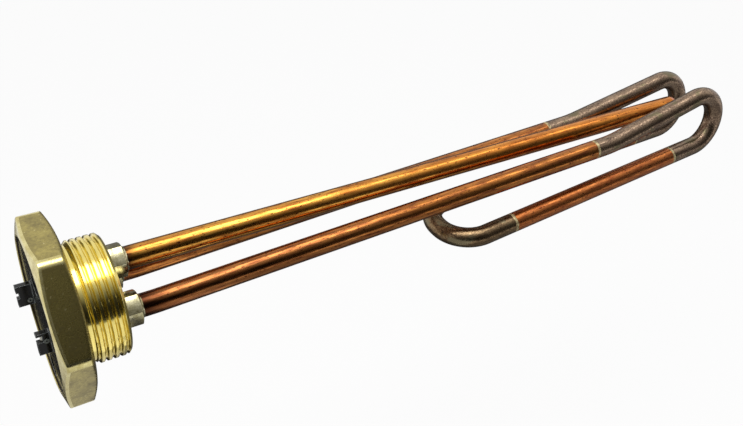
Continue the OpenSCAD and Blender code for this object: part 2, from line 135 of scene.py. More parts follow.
@dataclass(frozen=True)
class Finish:
    """A surface whose colour and gloss wander between two states, fresh and worn."""

    name: str
    colour: str
    worn: str
    metallic: float = 1.0
    roughness: Pair = (0.3, 0.4)  # Fresh and worn.
    specular: float = 0.5
    coat: float = 0.0
    patch_mm: Point | float = 6.0  # Broad patches, one size or one along each axis.
    fine_mm: Point | float = 0.5  # Fine grain.
    fine_share: float = 0.35
    grain_roughness: float = 0.55
    contrast: Pair = (0.35, 0.65)  # Levels of the noise that are all fresh and all worn.
    bump: float = 0.05
    bump_mm: float = 0.2
    coordinates: Coordinates = Coordinates.OBJECT
    edge_mm: float = 0.0  # Rounding that the eye sees on sharp edges.
    painted_edge_highlight: str = ""  # Colour painted on those edges as a highlight.
    edge_highlight_span: Pair = (0.99, 0.8)  # Normal likeness at which the painted highlight starts and is full.
    far: str = ""  # Fresh colour further along a tube.
    fade_mm: Pair = (0.0, 1.0)
    stain: str = ""  # Colour at the start of a tube.
    stain_mm: Pair = (0.0, 1.0)
    speck: str = ""
    speck_mm: Point | float = 1.0
    speck_level: float = 0.66
    speck_soft: float = 0.05

    @cache
    def build(self) -> bpy.types.Material:
        """Makes the material, once for each finish.

        Returns:
            A material with its node tree filled in.
        """
        made = bare_material(self.name)
        tree = made.node_tree
        spot = add_node(tree, "ShaderNodeTexCoord").outputs[self.coordinates.value]
        sizes: list[tuple[Point | float, float]] = [(self.patch_mm, 4.0), (self.fine_mm, 3.0)]
        if self.speck:
            sizes.append((self.speck_mm, 1.0))
        grains: list[Socket] = []
        for size, octaves in sizes:
            axes = size if isinstance(size, tuple) else (size, size, size)
            scaled = add_node(tree, "ShaderNodeVectorMath", {
                0: spot, 1: tuple(per_size(s) for s in axes)}, operation="MULTIPLY")
            grains.append(add_node(tree, "ShaderNodeTexNoise", {
                "Vector": scaled.outputs[0], "Scale": 1.0, "Detail": octaves,
                "Roughness": self.grain_roughness}).outputs[0])
        patch, fine, *dots = grains
        both = add_node(tree, "ShaderNodeMix", {0: self.fine_share, 2: patch, 3: fine}).outputs[0]
        wander: Inputs = {
            "Value": both, "From Min": self.contrast[0], "From Max": self.contrast[1]}
        wear = add_node(tree, "ShaderNodeMapRange", wander).outputs[0]
        gloss = add_node(tree, "ShaderNodeMapRange", {
            **wander, "To Min": self.roughness[0], "To Max": self.roughness[1]}).outputs[0]

        layers: list[tuple[Socket, str]] = [(wear, self.worn)]
        if self.far:
            layers.insert(0, (self.along(tree, spot, patch, self.fade_mm, (0.0, 1.0)), self.far))
        if self.stain:
            layers.append((self.along(tree, spot, both, self.stain_mm, (1.0, 0.0)), self.stain))
        if self.speck:
            share = add_node(tree, "ShaderNodeMapRange", {
                "Value": dots[0], "From Min": self.speck_level,
                "From Max": self.speck_level + self.speck_soft})
            layers.append((share.outputs[0], self.speck))
        relief: Inputs = {"Strength": self.bump, "Distance": self.bump_mm * MM, "Height": both}
        if self.edge_mm:
            rounded = add_node(tree, "ShaderNodeBevel", {"Radius": self.edge_mm * MM}, samples=6)
            relief["Normal"] = rounded.outputs[0]
        # Edges within the rounding are painted paler: a painted highlight.
        if self.painted_edge_highlight:
            flat = add_node(tree, "ShaderNodeNewGeometry")
            likeness = add_node(tree, "ShaderNodeVectorMath", {
                0: relief["Normal"], 1: flat.outputs["Normal"]}, operation="DOT_PRODUCT")
            share = add_node(tree, "ShaderNodeMapRange", {
                "Value": likeness.outputs["Value"], "From Min": self.edge_highlight_span[0],
                "From Max": self.edge_highlight_span[1]})
            layers.append((share.outputs[0], self.painted_edge_highlight))

        tint: Any = linear(self.colour)
        for amount, colour in layers:
            tint = add_node(tree, "ShaderNodeMix", {
                0: amount, 6: tint, 7: linear(colour)}, data_type="RGBA").outputs[2]
        shader = add_node(tree, "ShaderNodeBsdfPrincipled", {
            "Base Color": tint, "Metallic": self.metallic, "Specular IOR Level": self.specular,
            "Coat Weight": self.coat, "Coat Roughness": self.roughness[0], "Roughness": gloss,
            "Normal": add_node(tree, "ShaderNodeBump", relief).outputs[0]})
        add_node(tree, "ShaderNodeOutputMaterial", {"Surface": shader.outputs[0]})
        return made

    def along(self, tree: bpy.types.NodeTree, spot: Socket, ragged: Socket, span: Pair,
              ends: Pair) -> Socket:
        """Share of a colour that comes or goes along an unrolled tube, with a ragged edge.

        Args:
            tree: Tree that takes the nodes.
            spot: Coordinates in metres, along the tube first.
            ragged: Noise that breaks up the edge.
            span: Where along the tube the change starts and ends, in millimetres.
            ends: Share before the change and after it.

        Returns:
            The share.
        """
        length = add_node(tree, "ShaderNodeSeparateXYZ", {0: spot}).outputs[0]
        width = (span[1] - span[0]) * MM
        shifted = add_node(tree, "ShaderNodeMath", {0: ragged, 1: 2 * width, 2: length},
                           operation="MULTIPLY_ADD")
        return add_node(tree, "ShaderNodeMapRange", {
            "Value": shifted.outputs[0], "From Min": span[0] * MM + width,
            "From Max": span[1] * MM + width, "To Min": ends[0], "To Max": ends[1]}).outputs[0]


# Copper tube, drawn through a die: long streaks, dark specks, and a stain of burnt flux where
# it leaves its collar. It is brighter and more golden near the plug and orange brown further
# out: partly tarnish, partly a painted pool of light where the lamp falls near the plug. A
# die's streaks are too fine to show in the render, so these are drawn coarser.
GOLDEN_COPPER = Finish(
    "drawn_copper_golden", "#E6A648", "#9A5620", roughness=(0.15, 0.32), coat=0.1,
    patch_mm=(22, 2.5, 3), fine_mm=(7, 0.7, 1), fine_share=0.55, bump=0.28,
    contrast=(0.42, 0.63), coordinates=Coordinates.UNROLLED, far="#DC8C3A", fade_mm=(70, 170),
    stain="#43220F", stain_mm=(19, 24), speck="#5C2E16", speck_mm=(1.8, 0.7, 1), speck_level=0.64)
# The element's own legs, the same tube, browner from their first heat.
DRAWN_COPPER = replace(
    GOLDEN_COPPER, name="drawn_copper_tarnished", colour="#A66C3A", worn="#6C381E",
    contrast=(0.4, 0.62), far="#C8803C", fade_mm=(50, 130), stain_mm=(20, 30))
# The lower run has been hotter, so its tarnish is redder. Its streaks are drawn coarser too.
RED_COPPER = Finish(
    "drawn_copper_reddened", "#CA7C40", "#904A24", roughness=(0.24, 0.38), coat=0.1,
    patch_mm=(18, 2.5, 3), fine_mm=(5, 0.7, 1), fine_share=0.55, bump=0.28,
    contrast=(0.4, 0.62), coordinates=Coordinates.UNROLLED, speck="#5A2A16",
    speck_mm=(1.4, 0.8, 1), speck_level=0.64)
# Copper annealed for bending: an oxide skin, grey brown, dull and mottled.
ANNEALED_COPPER = Finish(
    "annealed_copper_oxide_skin", "#A68E76", "#54433A", roughness=(0.2, 0.38),
    patch_mm=(7, 3, 3), fine_mm=(0.9, 0.6, 1), fine_share=0.6, bump=0.35,
    contrast=(0.38, 0.62), coordinates=Coordinates.UNROLLED, speck="#756A52",
    speck_mm=(11, 5, 3), speck_level=0.58)
# The near hairpin's oxide is drawn darker and browner than on the far bends.
BROWN_OXIDE = replace(
    ANNEALED_COPPER, name="annealed_copper_brown_oxide", colour="#8E7657", worn="#48382B")
# Edge of the oxide skin, where flux has burnt to a pale crust.
FLUX_EDGE = Finish(
    "burnt_flux_edge", "#DCCB9A", "#5E482C", metallic=0.6, roughness=(0.4, 0.6),
    patch_mm=(1.1, 1.4, 1), fine_mm=(0.3, 0.3, 1), bump=0.2, contrast=(0.44, 0.62),
    coordinates=Coordinates.UNROLLED)
# Copper at the spun tip of the pocket, left pink by the flame.
SPUN_TIP = Finish(
    "spun_copper_pink", "#CF9070", "#A9664A", roughness=(0.28, 0.42),
    patch_mm=2, fine_mm=(0.4, 0.4, 1), coordinates=Coordinates.UNROLLED)
# Hot forged brass, tumbled: a dull olive skin with pits and rubbed specks.
FORGED_BRASS = Finish(
    "forged_brass_tumbled", "#B4A55F", "#82764A", roughness=(0.22, 0.36),
    patch_mm=7, fine_mm=0.9, fine_share=0.4, bump=0.22,
    contrast=(0.36, 0.66), speck="#D2C58C", speck_mm=1.1, speck_level=0.71,
    edge_mm=1.2)
# Edges of the same forging, paler and smoother than the flats: partly rubbed bright by
# handling, partly a painted highlight where the edges catch the lamp.
RUBBED_HIGHLIT_BRASS = Finish(
    "forged_brass_rubbed_edge_highlight", "#E6DCA2", "#BCAD6C", roughness=(0.18, 0.3),
    patch_mm=3, fine_mm=0.6, fine_share=0.4, bump=0.1)
# Inside of the forging, never machined: dark brown, painted as the shade inside the recess.
SHADED_RECESS_BRASS = Finish(
    "forged_brass_recess_shade", "#4A3C24", "#2A2216", metallic=0.8, roughness=(0.4, 0.55),
    patch_mm=4, fine_mm=0.6, fine_share=0.4, bump=0.2)
# Turned brass: bright and yellow, with fine rings left by the tool. The broader rings are
# coarser than the tool's feed, so that they show.
TURNED_BRASS = Finish(
    "turned_brass_bright", "#F4E492", "#DEC96A", roughness=(0.1, 0.2),
    patch_mm=(0.35, 9, 9), fine_mm=(0.12, 14, 14), fine_share=0.5, bump=0.04)
# Hexagon collar, tinned by dipping: pale grey and wavy, with an olive stain of flux.
TINNED_COLLAR = Finish(
    "tinned_collar_soldered", "#E6DEB8", "#8C8358", roughness=(0.11, 0.24),
    patch_mm=2.6, fine_mm=0.5, fine_share=0.3, bump=0.12)
# Phenolic moulding: deep black with the gloss of its mould, and edges painted pale grey as a
# highlight where they catch the light.
BLACK_PHENOLIC = Finish(
    "moulded_phenolic_black", "#0E0E0F", "#191716", metallic=0.0, roughness=(0.08, 0.16),
    specular=0.3, patch_mm=5, fine_mm=0.8, fine_share=0.3, bump=0.01,
    edge_mm=0.5, painted_edge_highlight="#A4AAA8")
# Tin plate over brass: pale, soft, lightly scuffed.
TIN_PLATE = Finish(
    "tin_plated_brass", "#CFCDC2", "#A5A296", roughness=(0.22, 0.36),
    patch_mm=1.5, fine_mm=0.25, bump=0.05, edge_mm=0.12)
# Blackened brass rivets: dark grey, with the metal rubbed through in places.
BLACKENED_RIVET = Finish(
    "blackened_brass_rivet", "#8A8E88", "#4A4D4A", roughness=(0.35, 0.5),
    patch_mm=0.6, fine_mm=0.2, bump=0.1, edge_mm=0.1)
# Drawn steel wire: grey and smooth.
DRAWN_STEEL = Finish(
    "drawn_steel_pin", "#A2A5A8", "#7C7F82", roughness=(0.26, 0.36),
    patch_mm=(12, 1, 1), fine_mm=(8, 0.2, 0.2), bump=0.04)
# Resistance wire after its first heat: dark oxide.
OXIDISED_WIRE = Finish(
    "oxidised_resistance_wire", "#6A675F", "#45433F", roughness=(0.4, 0.5),
    patch_mm=1.2, fine_mm=0.2, bump=0.1)
# Magnesia rammed into the tube: chalky white.
PACKED_MAGNESIA = Finish(
    "packed_magnesia_powder", "#ECE8DE", "#D8D2C4", metallic=0.0, roughness=(0.8, 0.95),
    patch_mm=1, fine_mm=0.2, bump=0.2)
# Silicone cured in the mouth of the tube: brick red, soft sheen.
CURED_SILICONE = Finish(
    "cured_silicone_red", "#B2512E", "#96431F", metallic=0.0, roughness=(0.4, 0.55),
    patch_mm=2, fine_mm=0.4, bump=0.05)
# Steatite bead, fired without glaze: cream and slightly rough.
FIRED_STEATITE = Finish(
    "fired_steatite_bead", "#F0EADA", "#E0D8C2", metallic=0.0, roughness=(0.55, 0.7),
    patch_mm=2, fine_mm=0.3, bump=0.08)


class Ends(Enum):
    """How the two ends of a grid are closed."""

    CAPPED = "a fan over each end"
    JOINED = "the last row joined to the first"


@dataclass
class Grid:
    """Rows of points that become the quads of one smooth closed skin."""

    rows: list[list[Vector]]
    slots: list[int]  # Material index of the stretch after each row.
    spots: list[float]  # Place of each row along the unrolled skin.
    across: float  # Width of the unrolled skin.
    ends: Ends = Ends.CAPPED

    def mesh(self, name: str) -> bpy.types.Mesh:
        """Joins the rows into a closed skin with unrolled coordinates.

        Args:
            name: Name of the mesh.

        Returns:
            The mesh, smooth, with its material indices set.
        """
        count = len(self.rows[0])
        points = [tuple(p) for row in self.rows for p in row]
        faces: list[tuple[int, ...]] = []
        slots: list[int] = []
        corners: list[Pair] = []
        last = len(self.rows) - 1
        for i in range(last + (self.ends is Ends.JOINED)):
            on = (i + 1) % (last + 1)
            for j in range(count):
                k = (j + 1) % count
                faces.append((i * count + j, i * count + k, on * count + k, on * count + j))
                slots.append(self.slots[i])
                left, right = self.across * j / count, self.across * (j + 1) / count
                corners += [(self.spots[i], left), (self.spots[i], right),
                            (self.spots[on], right), (self.spots[on], left)]
        for i, way in ((0, -1), (last, 1)) if self.ends is Ends.CAPPED else ():
            middle = len(points)
            points.append(tuple(sum(self.rows[i], Vector()) / count))
            for j in range(count):
                pair = (i * count + j, i * count + (j + 1) % count)
                faces.append((*(pair if way > 0 else pair[::-1]), middle))
                slots.append(self.slots[i])
                corners += [(self.spots[i], 0.0)] * 3
        mesh = bpy.data.meshes.new(name)
        mesh.from_pydata(points, [], faces)
        mesh.polygons.foreach_set("material_index", slots)
        mesh.polygons.foreach_set("use_smooth", [True] * len(faces))
        unrolled = mesh.uv_layers.new(name="unrolled")
        unrolled.data.foreach_set("uv", [c for pair in corners for c in pair])
        mesh.set_sharp_from_angle(angle=SHARP)
        mesh.update()
        return mesh


def place(name: str, mesh: bpy.types.Mesh, finishes: list[Finish], node: str
          ) -> bpy.types.Object:
    """Puts a skin in the scene in place of its CAD node.

    Args:
        name: Name of the piece.
        mesh: Its mesh, in the row frame.
        finishes: Its finishes, in the order of the mesh's material indices.
        node: CAD node that it stands for.

    Returns:
        The new object.
    """
    piece = bpy.data.objects.new(name, mesh)
    bpy.context.scene.collection.objects.link(piece)
    for finish in finishes:
        mesh.materials.append(finish.build())
    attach(piece, "root")
    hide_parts(node)
    log.info("%s: %d faces", name, len(mesh.polygons))
    return piece


def fillet(corners: list[Point], most: float = 0.45) -> list[Pair]:
    """Rounds the corners of an open outline.

    Args:
        corners: Radius from the axis, place along it and rounding of each corner.
        most: Largest share of a side that one rounding may take.

    Returns:
        The rounded outline, with the same number of points for the same corners.
    """
    out: list[Pair] = []
    for i, (r, x, size) in enumerate(corners):
        here = Vector((r, x))
        if size <= 0 or i in (0, len(corners) - 1):
            out.append((r, x))
            continue
        before, after = (Vector(corners[k][:2]) - here for k in (i - 1, i + 1))
        reach = min(size, most * before.length, most * after.length)
        a, b = here + before.normalized() * reach, here + after.normalized() * reach
        for s in range(ROUND_STEPS + 1):
            t = s / ROUND_STEPS
            p = a * (1 - t) ** 2 + here * 2 * t * (1 - t) + b * t ** 2
            out.append((p.x, p.y))
    return out


def swept(outlines: list[list[Pair]], turns: list[float], centre: Pair = (0.0, 0.0)
          ) -> list[list[Vector]]:
    """Sets one outline at each angle round a line along X.

    Args:
        outlines: Radius and place along X of each outline's points, in millimetres.
        turns: Angle of each outline, in radians.
        centre: Y and Z of the line, in millimetres.

    Returns:
        Rows of points in metres, one row for each point of the outlines.
    """
    return [[Vector((x, centre[0] + r * math.cos(t), centre[1] + r * math.sin(t))) * MM
             for (r, x), t in zip(ring, turns)] for ring in zip(*outlines)]


@dataclass
class Hexagon:
    """Hexagon with rounded corners, the first of them on the Y axis, in millimetres."""

    across_flats: float
    corner_r: float
    flat_steps: int
    corner_steps: int
    crown: float = 0.0  # How far the middle of a flat stands out.
    half: float = math.pi / 6

    def turns(self) -> list[float]:
        """Angles round the hexagon, closer together across its corners.

        Returns:
            The angles in radians, from one corner's start.
        """
        lean = self.lean()
        flat = 2 * (self.half - lean)
        out: list[float] = []
        for k in range(6):
            start = 2 * self.half * k - lean
            out += [start + 2 * lean * s / self.corner_steps for s in range(self.corner_steps)]
            out += [start + 2 * lean + flat * s / self.flat_steps for s in range(self.flat_steps)]
        return out

    def reach(self) -> float:
        """Distance of the corners' centres from the axis."""
        return (self.across_flats / 2 - self.corner_r) / math.cos(self.half)

    def lean(self) -> float:
        """Half the angle that a rounded corner takes up."""
        return math.atan2(self.corner_r * math.sin(self.half),
                          self.reach() + self.corner_r * math.cos(self.half))

    def radius(self, turn: float) -> float:
        """Distance of the side from the axis.

        Args:
            turn: Angle from the first corner, in radians.

        Returns:
            The distance in millimetres.
        """
        off = abs((turn + self.half) % (2 * self.half) - self.half)
        if off >= self.lean():
            share = (self.half - off) / (self.half - self.lean())
            side = self.across_flats / 2 / math.cos(self.half - off)
            return side + self.crown * (1 - share ** 2)
        across = self.reach() * math.sin(off)
        return self.reach() * math.cos(off) + math.sqrt(self.corner_r ** 2 - across ** 2)


class PlugSkin(IntEnum):
    """Material index of each kind of surface on the plug."""

    FORGED = 0
    TURNED = 1
    RUBBED = 2
    SCALE = 3


@dataclass
class Plug:
    """Forged hexagon plug with its turned pipe thread, in millimetres."""

    across_flats: float = 56.5
    thickness: float = 10.5
    corner_r: float = 3.2
    flat_steps: int = 44
    corner_steps: int = 12
    face_r: float = 26.9
    chamfer_deg: float = 15.0
    edge: float = 0.45
    rubbed_highlight_w: float = 1.0
    thread_r: float = 20.955
    thread_len: float = 13.5
    pitch: float = 2.309
    depth: float = 0.95
    crest: float = 0.42  # Share of the pitch, like the root's.
    root: float = 0.1
    lead: float = 0.95
    crest_x: float = 8.7  # One crest passes here,
    crest_deg: float = 235.7  # at this angle from the Y axis.
    thread_step: float = 0.1
    relief_r: float = 19.8
    relief_w: float = 2.0
    seat_r: float = 21.4
    seat_edge: float = 0.1
    undercut: float = 0.4
    recess_r: float = 26.3
    recess_depth: float = 5.5
    recess_edge: float = 0.2
    lip: float = 0.3  # Rim of the recess: partly kept bright by handling, partly painted highlight.
    lip_edge: float = 0.15
    bore_r: float = 16.5
    bore_edge: float = 0.3
    end_wall: float = 4.5
    core_r: float = 0.5  # The fans that close the skin start here.
    hole_r: float = 4.05
    hole_steps: int = 48
    hole_turn_deg: float = 1.7
    merge: float = 0.002

    def thread_radius(self, x: float, turn: float) -> float:
        """Radius of the thread's surface.

        Args:
            x: Place along the axis.
            turn: Angle from the Y axis, in radians.

        Returns:
            The radius in millimetres, cut by the lead chamfer and the relief.
        """
        ahead = (turn - math.radians(self.crest_deg)) / (2 * math.pi)
        along = (x - self.crest_x) / self.pitch - ahead
        saw = abs((along % 1.0) - 0.5) * 2
        flank = min(1.0, max(0.0, (saw - self.root) / (1 - self.root - self.crest)))
        # Halfway between a straight flank and one that is rounded at crest and root.
        shape = flank * flank * (3 - 2 * flank) * 0.5 + flank * 0.5
        cut = self.thread_r - self.depth * (1 - shape)
        lead = self.thread_r - max(0.0, x - (self.thread_len - self.lead))
        start = self.relief_r + max(0.0, x - self.relief_w)
        return min(cut, lead, start)

    def outline(self, turn: float, side: float) -> tuple[list[Pair], list[int]]:
        """Outline of the plug at one angle, from the bore's floor round to the end face.

        Args:
            turn: Angle from the Y axis, in radians.
            side: Distance of the hexagon's side from the axis.

        Returns:
            Radius and place along X of each point, and the material index of each stretch.
        """
        fall = (side - self.face_r) * math.tan(math.radians(self.chamfer_deg))
        back = -self.thickness
        floor, wall = back + self.recess_depth, self.thread_len - self.end_wall
        inside = fillet([
            (self.core_r, wall, 0), (self.bore_r, wall, self.bore_edge),
            (self.bore_r, floor, self.bore_edge), (self.recess_r, floor, self.recess_edge),
            (self.recess_r, back + self.lip, 0)])
        rim = fillet([
            (self.recess_r, back + self.lip, 0), (self.recess_r, back, self.lip_edge),
            (self.face_r, back, self.edge), (side, back + fall, self.edge),
            (side, back + fall + self.rubbed_highlight_w, 0)])
        shoulder = fillet([
            (side, -fall - self.rubbed_highlight_w, 0), (side, -fall, self.edge),
            (self.face_r, 0, self.edge), (self.seat_r, 0, self.seat_edge),
            (self.seat_r, -self.undercut, self.seat_edge),
            (self.relief_r, -self.undercut, self.seat_edge), (self.relief_r, self.relief_w, 0)])
        span = self.thread_len - self.relief_w
        steps = round(span / self.thread_step)
        thread = [(self.thread_radius(x, turn), x) for x in (
            self.relief_w + span * s / steps for s in range(1, steps + 1))]
        points = inside + rim[1:] + shoulder + thread + [(self.core_r, self.thread_len)]
        # Two stretches of the side, two rounded edges, their chamfer and the sealing face.
        forged = 2 + 2 * ROUND_STEPS + 2
        # The bore and the recess take the painted shade.
        slots: list[int] = [PlugSkin.SCALE] * (len(inside) - 1)
        # The rim takes the pale edge finish: partly rubbed, partly a painted highlight.
        slots += [PlugSkin.RUBBED] * (len(rim) - 1) + [PlugSkin.FORGED] * forged
        return points, slots + [PlugSkin.TURNED] * (len(points) - len(slots))

    def build(self) -> bpy.types.Object:
        """Builds and dresses the plug.

        Returns:
            The plug's skin.
        """
        hexagon = Hexagon(self.across_flats, self.corner_r, self.flat_steps, self.corner_steps)
        turns = hexagon.turns()
        outlines = [self.outline(t, hexagon.radius(t)) for t in turns]
        slots = outlines[0][1]
        rows = swept([points for points, _ in outlines], turns)
        spots = [i * self.thread_step * MM for i in range(len(rows))]
        mesh = Grid(rows, slots, spots, 2 * math.pi * self.thread_r * MM).mesh("plug_skin")
        # The corners between the flats take the same pale edge too, on both stretches of the side:
        # partly rubbed, partly a painted highlight.
        side = len(slots) - slots[::-1].index(PlugSkin.RUBBED)
        for j in range(len(turns)):
            if j % (self.corner_steps + self.flat_steps) < self.corner_steps:
                for i in (side, side + 1):
                    mesh.polygons[i * len(turns) + j].material_index = PlugSkin.RUBBED
        finishes = {PlugSkin.FORGED: FORGED_BRASS, PlugSkin.TURNED: TURNED_BRASS,
                    PlugSkin.RUBBED: RUBBED_HIGHLIT_BRASS, PlugSkin.SCALE: SHADED_RECESS_BRASS}
        piece = place("plug_skin", mesh, [finishes[s] for s in PlugSkin], "plug_body")
        self.drill(piece)
        return piece

    def drill(self, piece: bpy.types.Object) -> None:
        """Drills the holes in which the three tubes pass the end wall.

        Args:
            piece: The plug's skin, with its materials.
        """
        holes = bmesh.new()
        # A slight turn keeps the holes' corners off the skin's radial edges.
        along = (Matrix.Rotation(math.pi / 2, 4, "Y")
                 @ Matrix.Rotation(math.radians(self.hole_turn_deg), 4, "Z"))
        for y, z in TUBES.values():
            at = Vector((self.thread_len - self.end_wall / 2, y, z)) * MM
            bmesh.ops.create_cone(
                holes, cap_ends=True, segments=self.hole_steps, radius1=self.hole_r * MM,
                radius2=self.hole_r * MM, depth=2 * self.end_wall * MM,
                matrix=Matrix.Translation(at) @ along)
        mesh = bpy.data.meshes.new("tube_holes")
        holes.to_mesh(mesh)
        holes.free()
        cutter = bpy.data.objects.new("tube_holes", mesh)
        bpy.context.scene.collection.objects.link(cutter)
        cut = piece.modifiers.new("tube_holes", "BOOLEAN")
        cut.operation, cut.solver, cut.object = "DIFFERENCE", "EXACT", cutter
        drilled = piece.evaluated_get(bpy.context.evaluated_depsgraph_get())
        piece.data = bpy.data.meshes.new_from_object(drilled)
        piece.modifiers.clear()
        bpy.data.objects.remove(cutter)
        # Points that the cut left almost on one another are merged, so the skin stays closed.
        skin = bmesh.new()
        skin.from_mesh(piece.data)
        bmesh.ops.remove_doubles(skin, verts=skin.verts[:], dist=self.merge * MM)
        bmesh.ops.dissolve_degenerate(skin, edges=skin.edges[:], dist=self.merge * MM)
        bmesh.ops.triangulate(skin, faces=[f for f in skin.faces if len(f.verts) > 4])
        skin.to_mesh(piece.data)
        skin.free()
        piece.data.set_sharp_from_angle(angle=SHARP)


@dataclass
class Collars:
    """The three hexagon collars on the end wall, in millimetres."""

    start: float = 13.5
    length: float = 5.2
    across_flats: float = 11.0
    corner_r: float = 0.35
    flat_steps: int = 12
    corner_steps: int = 6
    crown: float = 0.22
    turn_deg: float = -15.0
    face_r: float = 5.1
    chamfer_deg: float = 15.0
    edge: float = 0.25
    tube_r: float = TUBE_R
    solder: float = 0.8
    solder_foot: float = 0.3
    solder_bend: Point = (0.2, 0.25, 0.4)  # Out from the tube, up from the face, rounding.
    solder_sink: float = 0.02

    def grid(self, centre: Pair) -> Grid:
        """Skin of one collar, with a fillet of solder round its tube.

        Args:
            centre: Y and Z of its axis.

        Returns:
            The grid of its skin, in metres.
        """
        hexagon = Hexagon(self.across_flats - 2 * self.crown, self.corner_r, self.flat_steps,
                          self.corner_steps, self.crown)
        end = self.start + self.length
        slope = math.tan(math.radians(self.chamfer_deg))
        out, up, bend = self.solder_bend
        turns = hexagon.turns()
        outlines: list[list[Pair]] = []
        for side in (hexagon.radius(turn) for turn in turns):
            outlines.append(fillet([
                (self.tube_r, self.start, 0), (side, self.start, 0),
                (side, end - (side - self.face_r) * slope, self.edge),
                (self.face_r, end, self.edge),
                (self.tube_r + self.solder, end, self.solder_foot),
                (self.tube_r + out, end + up, bend),
                (self.tube_r - self.solder_sink, end + self.solder, 0)]))
        rows = swept(outlines, [t + math.radians(self.turn_deg) for t in turns], centre)
        spots = [i * self.edge * MM for i in range(len(rows))]
        return Grid(rows, [0] * len(rows), spots, 6 * self.across_flats * MM, Ends.JOINED)

    def build(self) -> list[bpy.types.Object]:
        """Builds and dresses the collars.

        Returns:
            The three skins.
        """
        return [place(f"{tube}_collar_skin", self.grid(at).mesh(f"{tube}_collar"),
                      [TINNED_COLLAR], f"{tube}_collar")
                for tube, at in TUBES.items()]


class PocketSkin(IntEnum):
    """Material index of each kind of surface on the pocket."""

    DRAWN = 0
    SPUN = 1


@dataclass
class Pocket:
    """Straight copper pocket with a spun round tip, in millimetres."""

    start: float = 6.0
    end: float = 275.0
    tube_r: float = TUBE_R
    wall: float = 0.8
    tip_len: float = 4.5
    tip_step_deg: int = 6
    segments: int = 64
    step: float = 6.0

    def build(self) -> bpy.types.Object:
        """Builds and dresses the pocket.

        Returns:
            The pocket's skin.
        """
        straight = self.end - self.tube_r
        count = round((straight - self.start) / self.step)
        bore = [(self.tube_r - self.wall, straight), (self.tube_r - self.wall, self.start)]
        outline = bore + [(self.tube_r, self.start + (straight - self.start) * i / count)
                          for i in range(count + 1)]
        outline += [(self.tube_r * math.cos(a), straight + self.tube_r * math.sin(a))
                    for a in map(math.radians, range(self.tip_step_deg, 90, self.tip_step_deg))]
        slots: list[int] = [
            PocketSkin.SPUN if x > self.end - self.tip_len and i >= len(bore) else PocketSkin.DRAWN
            for i, (_, x) in enumerate(outline)]
        rows = swept([outline] * self.segments, circle(self.segments), TUBES["pocket"])
        grid = Grid(rows, slots, [x * MM for _, x in outline], 2 * math.pi * self.tube_r * MM)
        finishes = {PocketSkin.DRAWN: GOLDEN_COPPER, PocketSkin.SPUN: SPUN_TIP}
        return place("pocket_skin", grid.mesh("pocket_skin"),
                     [finishes[s] for s in PocketSkin], "pocket_tube")


class SheathSkin(IntEnum):
    """Material index of each kind of surface on the sheath."""

    COPPER = 0
    REDDENED = 1
    OXIDE = 2
    FLUX = 3
    BROWN_OXIDE = 4


class Run(IntEnum):
    """Long runs of the sheath, numbered by the corner that each starts from."""

    FRONT_LEG = 1
    FRONT_RETURN = 4
    REAR_RETURN = 6
    REAR_LEG = 9


